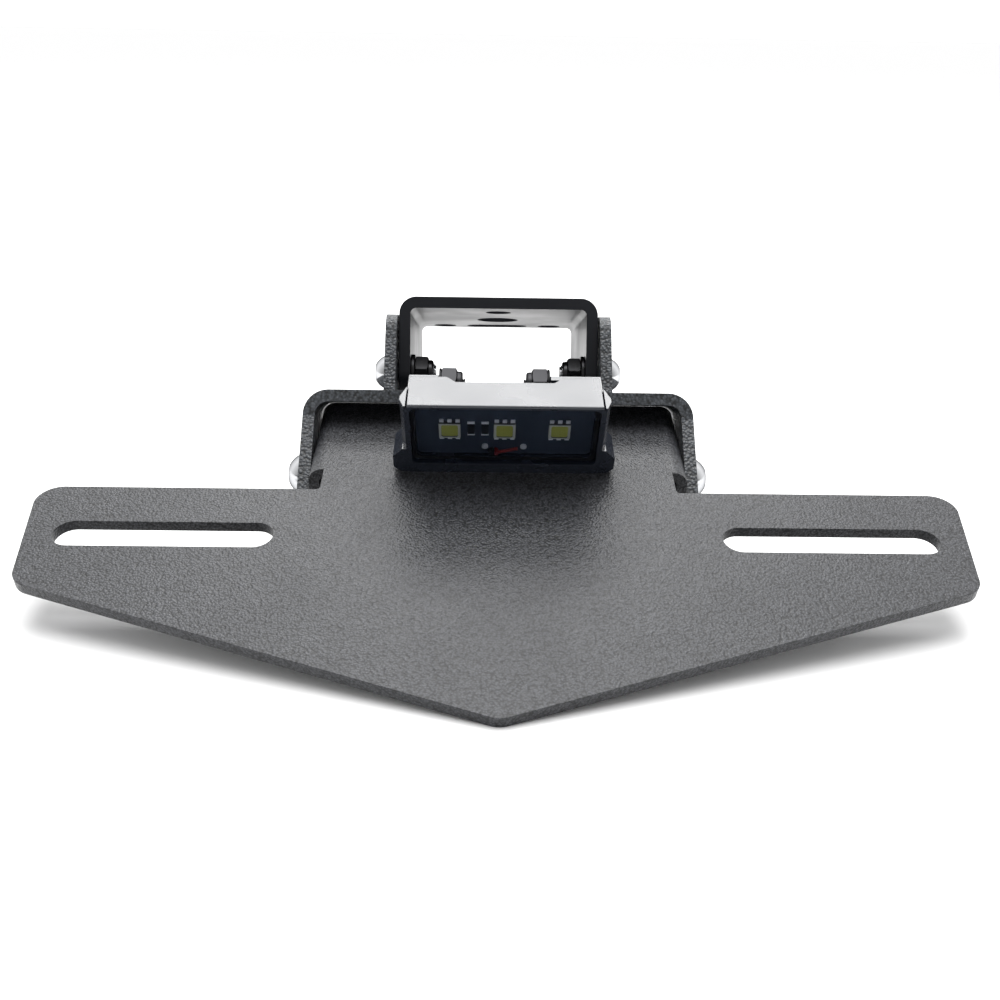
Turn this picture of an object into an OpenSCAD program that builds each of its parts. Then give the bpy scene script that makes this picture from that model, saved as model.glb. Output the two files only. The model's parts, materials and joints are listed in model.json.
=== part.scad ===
// Tail tidy of a motorcycle: a folded number plate bracket hangs in a folded link bracket,
// and the link hangs in a channel that bolts up under the tail. A light stands on the plate
// bracket's neck. Both pivots are pairs of bolts that clamp the folded flanges.
// Millimetres. X runs across the motorcycle, +Y points forwards under the tail, +Z is up.
// The part rests on the plate bracket's tip and the channel's two rear corners, at z = 0.

/* [Plate bracket] */

// Width across the lower corners of the two wings
wing_low_width = 203; // [190:1:215]
// Width across the upper corners of the two wings
wing_top_width = 212.6; // [200:0.2:225]
// Height of the lower corners above the tip, along the sheet
wing_low_rise = 35.8; // [30:0.2:42]
// Height of the wings' upper edge above the tip, along the sheet
wing_top_rise = 68.3; // [64:0.1:69]
// Rounding of the wing corners
wing_round = 5.5; // [3:0.5:8]
// Rounding of the tip
tip_round = 5; // [3:0.5:10]
// Thickness of the plate bracket's sheet
plate_sheet = 2.5; // [2:0.1:3]
// Sheet left between each slot and the wing's outer edge
slot_margin = 6.1; // [4:0.1:12]
// Width of each number plate slot
slot_width = 8.3; // [6:0.1:9]
// Distance from the middle to the inner end of each slot
slot_inset = 49.5; // [47:0.5:51]
// Height of the slots above the tip, along the sheet
slot_rise = 51.6; // [48:0.1:54]
// Width across the outside of the neck's two flanges
neck_width = 91; // [86:0.2:96]
// Height above the tip at which the neck's flanges begin
neck_rise = 76.1; // [75:0.1:77]
// Length of the neck past the lower pivot
neck_past_pivot = 17.7; // [16.5:0.1:18.5]
// Depth of the neck's flanges below the sheet
neck_depth = 18; // [16:0.2:20]
// Rounding of the neck flanges' lower corners
neck_round = 5; // [2:0.5:6]

/* [Link bracket] */

// Thickness of the link bracket's sheet
link_sheet = 3; // [2.5:0.1:3.5]
// Gap between the link's flanges and the neck's flanges, each side
flange_gap = 0.3; // [0.2:0.05:0.6]
// Gap between the link's web and the end of the neck that stops against it
stop_gap = 0.05; // [0.05:0.05:0.4]
// Length of the link's web
link_length = 38; // [37:0.5:44]
// Depth of the link's flanges, along their slanting front edge
link_reach = 31; // [30:0.5:33]
// Radius inside the bends between the link's web and flanges
link_bend = 3.5; // [2:0.5:4]
// Length of the web in front of its window
strip_length = 14.5; // [13:0.5:15]
// Height of the ears above the web
ear_height = 21.3; // [18:0.1:22]
// Rounding of the ears' upper corners
ear_round = 5.5; // [3:0.5:6]
// Gap between the ears and the mounting channel, each side
ear_gap = 0.5; // [0.1:0.05:0.7]

/* [Mounting channel] */

// Thickness of the channel's sheet
mount_sheet = 3; // [2.5:0.1:3.5]
// Outside width of the channel
mount_width = 53.4; // [52:0.1:56]
// Length of the channel
mount_length = 54.5; // [54:0.5:60]
// Depth of the channel's flanges at their rear corners
mount_depth = 36; // [34:0.5:38]
// Rounding of the flanges' rear lower corners
mount_round = 3; // [1:0.5:5]
// Diameter of the three round bolt holes
mount_hole = 7; // [6:0.5:7]
// Diameter of the cable hole
cable_hole = 12; // [8:0.5:14]
// Length of the slotted hole at the far end
mount_slot_length = 18.7; // [14:0.1:20]

/* [Pivots] */

// Height of the lower pivot above the tip, along the plate bracket's sheet
lower_rise = 87.5; // [87:0.1:96]
// Depth of the lower pivot below the plate bracket's upper face
lower_drop = 10; // [9.5:0.1:10.5]
// Distance of the lower pivot behind the link's front edge
link_lower_back = 1.95; // [1.5:0.05:2.5]
// Depth of the lower pivot below the link's web
link_lower_drop = 21.25; // [21:0.05:22]
// Distance of the upper pivot behind the link's front edge
link_upper_back = 29.4; // [29:0.1:30]
// Height of the upper pivot above the link's web
link_upper_height = 5.8; // [5.6:0.1:7]
// Distance of the upper pivot behind the channel's near edge
mount_upper_back = 6.95; // [6.8:0.05:8]
// Depth of the upper pivot below the channel's web
mount_upper_drop = 20; // [18.5:0.05:21]
// Thread size of the lower pivot's bolts
lower_thread = 6; // [5:0.5:6]
// Thread size of the upper pivot's bolts
upper_thread = 5; // [4:0.5:5]
// Gap around a bolt in the holes it passes through
bolt_gap = 0.25; // [0.2:0.05:0.4]

/* [Light] */

// Width of the light's body
lamp_width = 44.5; // [43:0.5:46]
// Height of the light's front edge above the neck
lamp_height = 22.4; // [22:0.1:24]
// Distance of the light's foot from the lower pivot, towards the tip
lamp_setback = 11.9; // [11.5:0.1:12.5]
// Distance the light sits to one side of the middle
lamp_shift = 1.2; // [0:0.1:2]
// Angle at which the light's face leans over its foot
lamp_lean = 15; // [13:0.5:17]
// Distance between neighbouring light-emitting diodes
led_pitch = 12.6; // [11:0.1:13]
// Side length of a light-emitting diode
led_size = 5; // [4:0.1:5]

/* [Hidden] */

// Steps in a rounded corner and sides of a true circle
arc_steps = 10;
round_sides = 96;
$fn = round_sides;
// Overlap of a cut past the face it starts from
past = 1;
// Gap between a thread and the nut on it
thread_gap = 0.02;
// Running room between a piece and the pocket it sits in
seat_gap = 0.15;
// Radius inside the narrow bends
tight_bend = 1.2;
mount_bend = 1.6;
ear_bend = 0.8;
// Length of the reliefs cut beside the ears' bends
ear_relief = 1;
// Depth of the reliefs beside the neck past its flanges' inner faces
relief_cut = 1.5;

// Half widths of the nested brackets, each tied to the one inside it
neck_half = neck_width / 2;
notch_half = neck_half - plate_sheet - relief_cut;
link_half = neck_half + flange_gap + link_sheet;
mount_half = mount_width / 2;
ear_inner = mount_half + ear_gap;
ear_outer = ear_inner + link_sheet;
window_half = ear_outer + ear_bend;

// The neck's end and the light's foot, carried by the lower pivot's place
neck_end = lower_rise + neck_past_pivot;
lamp_rise = lower_rise - lamp_setback;

// The link's lean against the plate bracket, set by the neck's end under the link's web
neck_reach = norm([neck_end - lower_rise, lower_drop]);
stop_height = link_lower_drop - link_sheet - stop_gap;
link_lean = asin(stop_height / neck_reach) - atan2(lower_drop, neck_end - lower_rise);

// Forward slant of the link flanges' front edges
flange_slant = 24.7;
flange_start = link_bend + link_sheet;
flange_toe = [-(link_reach - flange_start) * sin(flange_slant),
    -flange_start - (link_reach - flange_start) * cos(flange_slant)];

// Positions along the plate bracket's sheet and above it
lower_pivot = [lower_rise, -lower_drop];
link_at = lower_pivot - turned([link_lower_back, -link_lower_drop], -link_lean);
mount_in_link = [link_upper_back - mount_upper_back, link_upper_height + mount_upper_drop];
mount_at = link_at + turned(mount_in_link, -link_lean);
rear_corner = mount_at + turned([mount_length - mount_round, mount_round - mount_depth], -link_lean);
rear_edge = mount_at + turned([mount_length, 0], -link_lean);
wing_angle = atan2(wing_low_rise, wing_low_width / 2);
tip_at = [tip_round * (1 / cos(wing_angle) - 1), -plate_sheet];

// Tilt at rest, with the tip and the channel's rear corners on the floor
rest_span = rear_corner - tip_at;
rest_tilt = asin(mount_round / norm(rest_span)) - atan2(rest_span[1], rest_span[0]);
front_y = turned([tip_at[0], 0], rest_tilt)[0];
rear_y = turned(rear_edge, rest_tilt)[0];
rest_shift = [0, -(front_y + rear_y) / 2, -turned(tip_at, rest_tilt)[1]];

// Lock nut and washer sizes that follow the thread
lower_hole = lower_thread / 2 + bolt_gap;
upper_hole = upper_thread / 2 + bolt_gap;
lobe_radius = mount_upper_back;

// Outer ends of the slots, tied to the wings' edges at the slots' height
wing_spread = (wing_top_width - wing_low_width) / 2;
wing_share = (slot_rise - wing_low_rise) / (wing_top_rise - wing_low_rise);
slot_end = wing_low_width / 2 + wing_spread * wing_share - slot_margin;
slot_straight = slot_end - slot_inset - slot_width;

// Light: body, lens seat and board seat, measured along and into its leaning face
lamp_half = lamp_width / 2;
lamp_depth = 13.4;
lamp_top = [lamp_rise - lamp_height * tan(lamp_lean), lamp_height];
lamp_rear_top = [lamp_top[0] + lamp_depth, lamp_height - 0.4];
lamp_rear_foot = [lamp_rise + 8.6, 0];
recess_rear = lamp_rear_top[0] - 2.7;
recess_half = 11.3;
recess_slope = 2.6;
recess_floor = 7;
lug_at = [lamp_rise + 11.8, lamp_height - 5.4];
lug_rear = lug_at[0] + 4;
lug_low = lug_at[1] - 3.8;
lug_skirt = lug_at[1] - 5.2;
lug_seats = [15.4, 10.6];
face_length = lamp_height / cos(lamp_lean);
lens_width = lamp_width - 1.6;
lens_low = 3;
lens_high = face_length - 1.1;
lens_sheet = 1.2;
lens_sunk = 0.15;
gasket_sheet = 0.3;
lens_depth = lens_sunk + lens_sheet + gasket_sheet;
lens_round = 1.5;
rebate = 1;
board_sheet = 1.2;
board_depth = 3.75;
board_face = -board_depth + board_sheet;
led_rise = 12.8;
led_height = 0.8;
led_wall = 0.45;
led_recess = 0.15;
lead_pitch = 1.85;
lead_size = [1, 0.8, 0.35];
pad_size = [1.7, 0.6, 0.3];
pad_gap = 0.05;
chip_size = [1.6, 3.2, 0.5];
resistor_x = -7.7;
diode_x = -4.5;
chip_rise = led_rise + 0.3;
wire_round = 0.4;
wire_blob = 0.5;
wire_hole = [-2.4, 5];
wire_hole_round = 1.35;
joint_spot = [4.5, 6.9];
joint_round = 0.75;
joint_height = 0.45;
wire_drop = 2.2;

// Cable way through the light's foot and the neck
way_rise = lamp_rise + 4.6;
way_round = 2.2;
grommet_round = 3;
grommet_rim = 1;
grommet_lip = 1;
grommet_bore = 1.8;

// End caps and the screws that hold the light together and to the neck
cap_sheet = 1.4;
cap_nose = [0.4, 2.7];
cap_tail = [4, 8.2];
cap_foot = 2.3;
cap_foot_height = 5.4;
cap_foot_slope = 2.6;
cap_foot_edge = 1.7;
cap_screw_at = [lamp_rise + 3.6, 13];
cap_screw_thread = 2.5;
cap_screw_head = 4.5;
cap_screw_crown = 0.8;
cap_screw_length = 5;
cap_screw_seat = lamp_half + cap_sheet - cap_screw_crown;
foot_screw_x = 13.5;
foot_screw_thread = 3;
foot_screw_head = 7;
foot_screw_crown = 2.2;
foot_screw_length = 7.5;
stud_thread = 3;
stud_nut_width = 7;
stud_nut_height = 5;
stud_washer_round = 3.8;
stud_washer_sheet = 0.5;
stud_stand = 0.6;
stud_grip = 5.5;

// Point turned about the origin by an angle
function turned(p, angle) = [
    p[0] * cos(angle) - p[1] * sin(angle),
    p[0] * sin(angle) + p[1] * cos(angle),
];

// Vector of length one
function unit(p) = p / norm(p);

// Signed smallest angle from one direction to another
function swing(from, to) = (to - from + 360 + 180) % 360 - 180;

// Points that round the corner p between its neighbours a and b
function corner(a, p, b, radius) =
    let (u = unit(a - p))
    let (v = unit(b - p))
    let (half = acos(u * v) / 2)
    let (middle = p + unit(u + v) * radius / sin(half))
    let (first = p + u * radius / tan(half) - middle)
    let (last = p + v * radius / tan(half) - middle)
    let (from = atan2(first[1], first[0]))
    let (turn = swing(from, atan2(last[1], last[0])))
    [for (i = [0:arc_steps]) middle + radius * [cos(from + turn * i / arc_steps),
        sin(from + turn * i / arc_steps)]];

// Position part of a corner given as [x, y] or [x, y, radius]
function spot(p) = [p[0], p[1]];

// All the points of an outline whose corners carry a radius
function rounded(corners) =
    let (n = len(corners))
    [for (i = [0:n - 1]) each len(corners[i]) < 3
        ? [corners[i]]
        : corner(spot(corners[(i + n - 1) % n]), spot(corners[i]), spot(corners[(i + 1) % n]),
            corners[i][2])];

// Half outline and its mirror image joined at the middle
function both_sides(half) = concat(half, [for (i = [len(half) - 1:-1:0])
    if (abs(half[i][0]) > 0.001) len(half[i]) < 3
        ? [-half[i][0], half[i][1]]
        : [-half[i][0], half[i][1], half[i][2]]]);

// Flat shape with rounded corners
module outline(corners) {
    polygon(rounded(corners));
}

// Drawing in the XZ plane made into a body between two Y values
module along(from, to) {
    translate([0, to, 0])
        rotate([90, 0, 0])
            linear_extrude(height = to - from)
                children();
}

// Drawing in the YZ plane made into a body between two X values
module across(from, to) {
    translate([from, 0, 0])
        rotate([90, 0, 90])
            linear_extrude(height = to - from)
                children();
}

// Shape and its mirror image on the other side of the middle
module mirrored() {
    children();
    mirror([1, 0, 0])
        children();
}

// Rod along X at a point of the YZ plane
module rod(at, from, to, radius) {
    translate([from, at[0], at[1]])
        rotate([0, 90, 0])
            cylinder(h = to - from, r = radius);
}

// Section of a channel with its flanges down
module channel(half, depth, sheet, bend) {
    outline(both_sides([
        [half - sheet, -depth],
        [half, -depth],
        [half, 0, bend + sheet],
        [0, 0],
    ]));
}

// Inside of a channel, cut from its section
module channel_inside(half, depth, sheet, bend) {
    outline([
        [half - sheet, -depth - past],
        [half - sheet, -sheet, bend],
        [sheet - half, -sheet, bend],
        [sheet - half, -depth - past],
    ]);
}

// Folded channel between two Y values
module folded(from, to, half, depth, sheet, bend) {
    along(from, to)
        difference() {
            channel(half, depth, sheet, bend);
            channel_inside(half, depth, sheet, bend);
        }
}

// The resting position of the whole part
module at_rest() {
    translate(rest_shift)
        rotate([rest_tilt, 0, 0])
            children();
}

// The link's place in the resting part
module in_link() {
    at_rest()
        translate([0, link_at[0], link_at[1]])
            rotate([-link_lean, 0, 0])
                children();
}

// The mounting channel's place in the resting part
module in_mount() {
    at_rest()
        translate([0, mount_at[0], mount_at[1]])
            rotate([-link_lean, 0, 0])
                children();
}

// The light's place in the resting part
module in_lamp() {
    at_rest()
        translate([lamp_shift, 0, 0])
            children();
}

// The light's leaning face, with its depth along -Z
module in_face() {
    in_lamp()
        face()
            children();
}

// Turn from the neck to the light's leaning face
module face() {
    translate([0, lamp_rise, 0])
        rotate([90 + lamp_lean, 0, 0])
            children();
}

// Block with rounded corners on the light's face, between two depths
module face_block(half, low, high, radius, from, to) {
    translate([0, 0, from])
        linear_extrude(height = to - from)
            outline([
                [half, low, radius],
                [half, high, radius],
                [-half, high, radius],
                [-half, low, radius],
            ]);
}

// Button head with a hex socket, standing on +Z
module button_head(width, crown, socket) {
    flat = width / 4;
    centre = (flat * flat + crown * crown - width * width / 4) / (2 * crown);
    difference() {
        intersection() {
            cylinder(h = crown, r = width / 2);
            translate([0, 0, centre])
                sphere(r = norm([width / 2, centre]));
        }
        translate([0, 0, crown * 0.35])
            cylinder(h = crown, r = socket / 2 / cos(30), $fn = 6);
    }
}

// Button head bolt along X with its head outside, its seat and its end
module bolt(at, seat, end, thread, head, crown, socket) {
    rod(at, end, seat, thread / 2);
    translate([seat, at[0], at[1]])
        rotate([0, 90, 0])
            button_head(head, crown, socket);
}

// Flat ring along X
module ring(at, from, to, outer, inner) {
    difference() {
        rod(at, from, to, outer);
        rod(at, from - past, to + past, inner);
    }
}

// Hexagon nut along X with a round collar towards the middle
module lock_nut(at, seat, width, height, thread) {
    collar = height * 0.26;
    difference() {
        union() {
            translate([seat - height + collar, at[0], at[1]])
                rotate([0, 90, 0])
                    intersection() {
                        cylinder(h = height - collar, r = width / 2 / cos(30), $fn = 6);
                        cylinder(h = height - collar, r = width / 2 + 0.55);
                    }
            rod(at, seat - height, seat - height + collar, width / 2 * 0.9);
        }
        rod(at, seat - height - past, seat + past, thread / 2 + thread_gap);
        rod(at, seat - height - past, seat - height + collar * 0.8, nut_ring_round(width) + thread_gap);
    }
}

// Outside radius of a lock nut's plastic ring
function nut_ring_round(width) = width / 2 * 0.74;

// Plastic ring in a lock nut's collar
module nut_ring(at, seat, width, height, thread) {
    collar = height * 0.26;
    ring(at, seat - height + 0.2, seat - height + collar * 0.8,
        nut_ring_round(width), thread / 2 + thread_gap);
}

// Sizes of the two pivots' hardware
lower_head = 10.5;
lower_crown = 3.3;
lower_socket = 4;
lower_washer_round = 6;
lower_washer_sheet = 1.6;
lower_nut_width = 10;
lower_nut_height = 6;
upper_head = 9.5;
upper_crown = 3.3;
upper_socket = 3;
upper_washer_round = 5;
upper_washer_sheet = 1;
upper_nut_width = 8;
upper_nut_height = 5;
bolt_stand = 0.8;
lower_seat = neck_half - plate_sheet;
lower_nut_seat = lower_seat - lower_washer_sheet;
upper_seat = mount_half - mount_sheet;
upper_nut_seat = upper_seat - upper_washer_sheet;
upper_pivot = [link_upper_back, link_upper_height];
link_lower_pivot = [link_lower_back, -link_lower_drop];

// Plate bracket: one sheet with two slotted wings, a pointed tip and a folded neck
module plate_bracket() {
    color([0.16, 0.16, 0.17])
        at_rest()
            difference() {
                union() {
                    translate([0, 0, -plate_sheet])
                        linear_extrude(height = plate_sheet)
                            outline(both_sides([
                                [0, 0, tip_round],
                                [wing_low_width / 2, wing_low_rise, wing_round],
                                [wing_top_width / 2, wing_top_rise, wing_round],
                                [notch_half, wing_top_rise, 1],
                                [notch_half, neck_rise],
                            ]));
                    intersection() {
                        folded(neck_rise, neck_end, neck_half, neck_depth + past, plate_sheet, tight_bend);
                        across(-neck_half - past, neck_half + past)
                            outline([
                                [neck_rise, past],
                                [neck_end, past],
                                [neck_end, -neck_depth, neck_round],
                                [neck_rise, -neck_depth, neck_round],
                            ]);
                    }
                }
                mirrored()
                    plate_slot();
                rod(lower_pivot, -neck_half - past, neck_half + past, lower_hole);
                for (side = [-1, 1])
                    translate([lamp_shift + side * foot_screw_x, way_rise, -plate_sheet - past])
                        cylinder(h = plate_sheet + 2 * past, r = foot_screw_thread / 2 + bolt_gap);
                translate([lamp_shift, way_rise, -plate_sheet - past])
                    cylinder(h = plate_sheet + 2 * past, r = grommet_round);
            }
}

// Long hole with round ends for the number plate's bolts
module plate_slot() {
    slot_round = slot_width / 2;
    translate([slot_inset + slot_round, slot_rise, -plate_sheet - past])
        linear_extrude(height = plate_sheet + 2 * past) {
            circle(r = slot_round);
            translate([slot_straight, 0])
                circle(r = slot_round);
            translate([0, -slot_round])
                square([slot_straight, slot_width]);
        }
}

// Link bracket: one sheet with slanting flanges below and two ears above its window
module link_bracket() {
    color([0.09, 0.09, 0.1])
        in_link()
            difference() {
                union() {
                    intersection() {
                        difference() {
                            folded(flange_toe[0] - past, link_length, link_half, link_reach + past,
                                link_sheet, link_bend);
                            translate([-window_half, strip_length, -link_sheet - past])
                                cube([2 * window_half, link_length, link_sheet + 2 * past]);
                        }
                        across(-link_half - past, link_half + past)
                            link_side();
                    }
                    mirrored()
                        link_ear();
                }
                rod(link_lower_pivot, -link_half - past, link_half + past, lower_hole);
                rod(upper_pivot, -ear_outer - past, ear_outer + past, upper_hole);
            }
}

// Side of the link's web and flanges
module link_side() {
    outline([
        [0, past],
        [0, -flange_start, 1],
        [flange_toe[0], flange_toe[1], 4],
        [link_lower_back - 3, -link_lower_drop - 9.6, 4],
        [link_lower_back + 7, -link_lower_drop - 7.6, 6],
        [link_length, -8, 6],
        [link_length, past],
    ]);
}

// Ear bent up from the side of the link's window
module link_ear() {
    intersection() {
        along(strip_length + ear_relief, link_length)
            outline([
                [ear_inner, ear_height + past],
                [ear_inner, -link_sheet, ear_bend + link_sheet],
                [window_half + past, -link_sheet],
                [window_half + past, 0],
                [ear_outer, 0, ear_bend],
                [ear_outer, ear_height + past],
            ]);
        across(ear_inner - past, window_half + 2 * past)
            outline([
                [strip_length, -link_sheet - past],
                [strip_length + ear_relief, 0, 2],
                [strip_length + ear_relief + ear_height * 0.3, ear_height, ear_round],
                [link_length, ear_height, ear_round],
                [link_length, -link_sheet - past],
            ]);
    }
}

// Mounting channel: one sheet with the bolt holes that hold the part under the tail
module mount_bracket() {
    color([0.03, 0.03, 0.035])
        in_mount()
            difference() {
                intersection() {
                    folded(0, mount_length, mount_half, mount_depth + past, mount_sheet, mount_bend);
                    across(-mount_half - past, mount_half + past)
                        mount_side();
                }
                rod([mount_upper_back, -mount_upper_drop], -mount_half - past, mount_half + past,
                    upper_hole);
                mount_web_hole([0, mount_near_row], mount_hole / 2);
                mount_web_hole([0, mount_cable_row], cable_hole / 2);
                mirrored()
                    mount_web_hole([mount_outer_hole, mount_far_row], mount_hole / 2);
                for (x = [-1, 1])
                    mount_web_hole([x * (mount_slot_length - mount_hole) / 2, mount_far_row],
                        mount_hole / 2);
                translate([-(mount_slot_length - mount_hole) / 2, mount_far_row - mount_hole / 2,
                    -mount_sheet - past])
                    cube([mount_slot_length - mount_hole, mount_hole, mount_sheet + 2 * past]);
            }
}

// Rows of holes in the channel's web
mount_near_row = 10;
mount_cable_row = 30.5;
mount_far_row = mount_length - 5.5;
mount_outer_hole = 16.2;

// Round hole through the channel's web
module mount_web_hole(at, radius) {
    translate([at[0], at[1], -mount_sheet - past])
        cylinder(h = mount_sheet + 2 * past, r = radius);
}

// Side of the channel, with a lobe round the pivot and a lower edge that falls to the rear
module mount_side() {
    lobe = [mount_upper_back, -mount_upper_drop];
    low = [mount_length, -mount_depth];
    span = low - lobe;
    fall = atan2(span[1], span[0]) - asin(lobe_radius / norm(span));
    tangent = lobe + lobe_radius * [sin(fall), -cos(fall)];
    union() {
        translate(lobe)
            circle(r = lobe_radius);
        outline([
            [0, past],
            [0, -mount_upper_drop],
            lobe,
            tangent,
            [mount_length, -mount_depth, mount_round],
            [mount_length, past],
        ]);
    }
}

// Lower pivot: bolts from outside, washers and lock nuts between the neck's flanges
module lower_pivot_bolts() {
    color([0.8, 0.8, 0.82])
        in_link()
            mirrored()
                bolt(link_lower_pivot, link_half, lower_nut_seat - lower_nut_height - bolt_stand,
                    lower_thread, lower_head, lower_crown, lower_socket);
}

module lower_washers() {
    color([0.7, 0.7, 0.72])
        in_link()
            mirrored()
                ring(link_lower_pivot, lower_nut_seat, lower_seat, lower_washer_round, lower_hole);
}

module lower_lock_nuts() {
    color([0.66, 0.66, 0.68])
        in_link()
            mirrored()
                lock_nut(link_lower_pivot, lower_nut_seat, lower_nut_width, lower_nut_height,
                    lower_thread);
}

module lower_nut_rings() {
    color([0.75, 0.78, 0.82])
        in_link()
            mirrored()
                nut_ring(link_lower_pivot, lower_nut_seat, lower_nut_width, lower_nut_height,
                    lower_thread);
}

// Upper pivot: bolts from outside, washers and lock nuts inside the mounting channel
module upper_pivot_bolts() {
    color([0.8, 0.8, 0.82])
        in_link()
            mirrored()
                bolt(upper_pivot, ear_outer, upper_nut_seat - upper_nut_height - bolt_stand,
                    upper_thread, upper_head, upper_crown, upper_socket);
}

module upper_washers() {
    color([0.7, 0.7, 0.72])
        in_link()
            mirrored()
                ring(upper_pivot, upper_nut_seat, upper_seat, upper_washer_round, upper_hole);
}

module upper_lock_nuts() {
    color([0.66, 0.66, 0.68])
        in_link()
            mirrored()
                lock_nut(upper_pivot, upper_nut_seat, upper_nut_width, upper_nut_height,
                    upper_thread);
}

module upper_nut_rings() {
    color([0.75, 0.78, 0.82])
        in_link()
            mirrored()
                nut_ring(upper_pivot, upper_nut_seat, upper_nut_width, upper_nut_height,
                    upper_thread);
}

// Light housing: a leaning body with two rear lugs, seats for the lens and the board
module lamp_housing() {
    color([0.06, 0.06, 0.065])
        in_lamp()
            difference() {
                intersection() {
                    union() {
                        difference() {
                            across(-lamp_half, lamp_half)
                                outline([
                                    [lamp_rise, 0],
                                    lamp_rear_foot,
                                    concat(lamp_rear_top, 0.5),
                                    concat(lamp_top, 0.5),
                                ]);
                            lamp_recess();
                        }
                        each_lug()
                            lamp_lug();
                    }
                    along(lamp_rise - lamp_height, lug_rear + past)
                        outline(both_sides([
                            [lamp_half, 0],
                            [lamp_half, lamp_height - 1.4],
                            [lamp_half - 0.8, lamp_height + past],
                        ]));
                }
                face() {
                    face_block(lens_width / 2, lens_low, lens_high, lens_round, -lens_depth, past);
                    face_block(lens_width / 2 - rebate, lens_low + rebate, lens_high - rebate,
                        lens_round, -board_depth, past);
                    translate([wire_hole[0], wire_hole[1], -board_depth - 2])
                        cylinder(h = board_depth, r = wire_hole_round);
                }
                translate([0, way_rise, -past])
                    cylinder(h = 8, r = way_round);
                translate([0, way_rise, -past])
                    cylinder(h = past + grommet_lip + seat_gap, r = grommet_round + grommet_rim + seat_gap);
                for (side = [-1, 1])
                    translate([side * foot_screw_x, way_rise, -past])
                        cylinder(h = past + foot_screw_length - plate_sheet,
                            r = foot_screw_thread / 2 + thread_gap);
                mirrored()
                    rod(cap_screw_at, cap_screw_seat - cap_screw_length, lamp_half + past,
                        cap_screw_thread / 2 + thread_gap);
                rod(lug_at, -lamp_half - past, lamp_half + past, stud_thread / 2 + thread_gap);
            }
}

// Shallow recess in the middle of the light's rear, with sloping ends
module lamp_recess() {
    translate([0, 0, recess_floor])
        linear_extrude(height = lamp_height)
            polygon([
                [-recess_half, recess_rear],
                [recess_half, recess_rear],
                [recess_half + recess_slope, lamp_rear_top[0] + 0.1],
                [recess_half + recess_slope, lug_rear + past],
                [-recess_half - recess_slope, lug_rear + past],
                [-recess_half - recess_slope, lamp_rear_top[0] + 0.1],
            ]);
}

// Places of the two lugs, whose seats stand at unequal distances from the light's middle
module each_lug() {
    mirror([1, 0, 0])
        across(lug_seats[0], lamp_half)
            children();
    across(lug_seats[1], lamp_half)
        children();
}

// Side of a lug behind the light, low enough to stay behind its upper rear edge
module lamp_lug() {
    outline([
        [lamp_rear_foot[0] - 2, lug_skirt],
        [lug_rear, lug_low, 0.8],
        [lug_rear, lug_at[1] - 0.2, 0.8],
        [lamp_rear_top[0] + 0.7, lamp_rear_top[1] - 0.2, 0.3],
        [lamp_rear_top[0] - 1, lamp_rear_top[1] - 0.2],
    ]);
}

// End cap that closes one side of the light: thickest near the face, with a wide foot
module lamp_cap() {
    outer = lamp_half + cap_sheet;
    difference() {
        intersection() {
            across(lamp_half, outer + cap_foot)
                outline([
                    [lamp_rise, 0.2],
                    [lamp_rear_foot[0], 0.2],
                    [lamp_rise + 7.6, cap_foot_height + cap_foot_slope, 2],
                    [lamp_top[0] + 9.5, lamp_height - 0.3, 2],
                    [lamp_rise - (lamp_height - 0.1) * tan(lamp_lean), lamp_height - 0.1],
                ]);
            union() {
                along(lamp_rise - lamp_height, lug_rear)
                    polygon([
                        [lamp_half, 0],
                        [outer + cap_foot - cap_foot_edge, 0],
                        [outer + cap_foot, cap_foot_edge],
                        [outer + cap_foot, cap_foot_height],
                        [outer, cap_foot_height + cap_foot_slope],
                        [lamp_half, cap_foot_height + cap_foot_slope],
                    ]);
                face()
                    rotate([-90, 0, 0])
                        translate([0, 0, cap_foot_height])
                            linear_extrude(height = lamp_height * 2)
                                polygon([
                                    [lamp_half, 0],
                                    [lamp_half + cap_nose[0], 0],
                                    [outer, cap_nose[1]],
                                    [outer, cap_tail[0]],
                                    [lamp_half + thread_gap, cap_tail[1]],
                                    [lamp_half, cap_tail[1]],
                                ]);
            }
        }
        rod(cap_screw_at, lamp_half - past, outer + past, cap_screw_thread / 2 + bolt_gap);
        rod(cap_screw_at, cap_screw_seat, outer + past, cap_screw_head / 2 + seat_gap);
    }
}

module lamp_cap_left() {
    color([0.07, 0.07, 0.075])
        in_lamp()
            mirror([1, 0, 0])
                lamp_cap();
}

module lamp_cap_right() {
    color([0.07, 0.07, 0.075])
        in_lamp()
            lamp_cap();
}

module lamp_cap_screws() {
    color([0.12, 0.12, 0.13])
        in_lamp()
            mirrored()
                bolt(cap_screw_at, cap_screw_seat, cap_screw_seat - cap_screw_length + seat_gap,
                    cap_screw_thread, cap_screw_head, cap_screw_crown, 1.5);
}

// Screws up through the neck into the light's foot
module lamp_foot_screws() {
    color([0.6, 0.6, 0.62])
        in_lamp()
            for (side = [-1, 1])
                translate([side * foot_screw_x, way_rise, -plate_sheet]) {
                    mirror([0, 0, 1])
                        button_head(foot_screw_head, foot_screw_crown, 2.5);
                    cylinder(h = foot_screw_length - seat_gap, r = foot_screw_thread / 2);
                }
}

// Studs across the light's two rear lugs, each with a washer and a lock nut
module lamp_studs() {
    color([0.7, 0.7, 0.72])
        in_lamp()
            each_seat()
                rod(lug_at, -stud_washer_sheet - stud_nut_height - stud_stand, stud_grip, stud_thread / 2);
}

module lamp_stud_washers() {
    color([0.7, 0.7, 0.72])
        in_lamp()
            each_seat()
                ring(lug_at, -stud_washer_sheet, 0, stud_washer_round, stud_thread / 2 + bolt_gap);
}

module lamp_stud_nuts() {
    color([0.62, 0.62, 0.64])
        in_lamp()
            each_seat()
                lock_nut(lug_at, -stud_washer_sheet, stud_nut_width, stud_nut_height, stud_thread);
}

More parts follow.
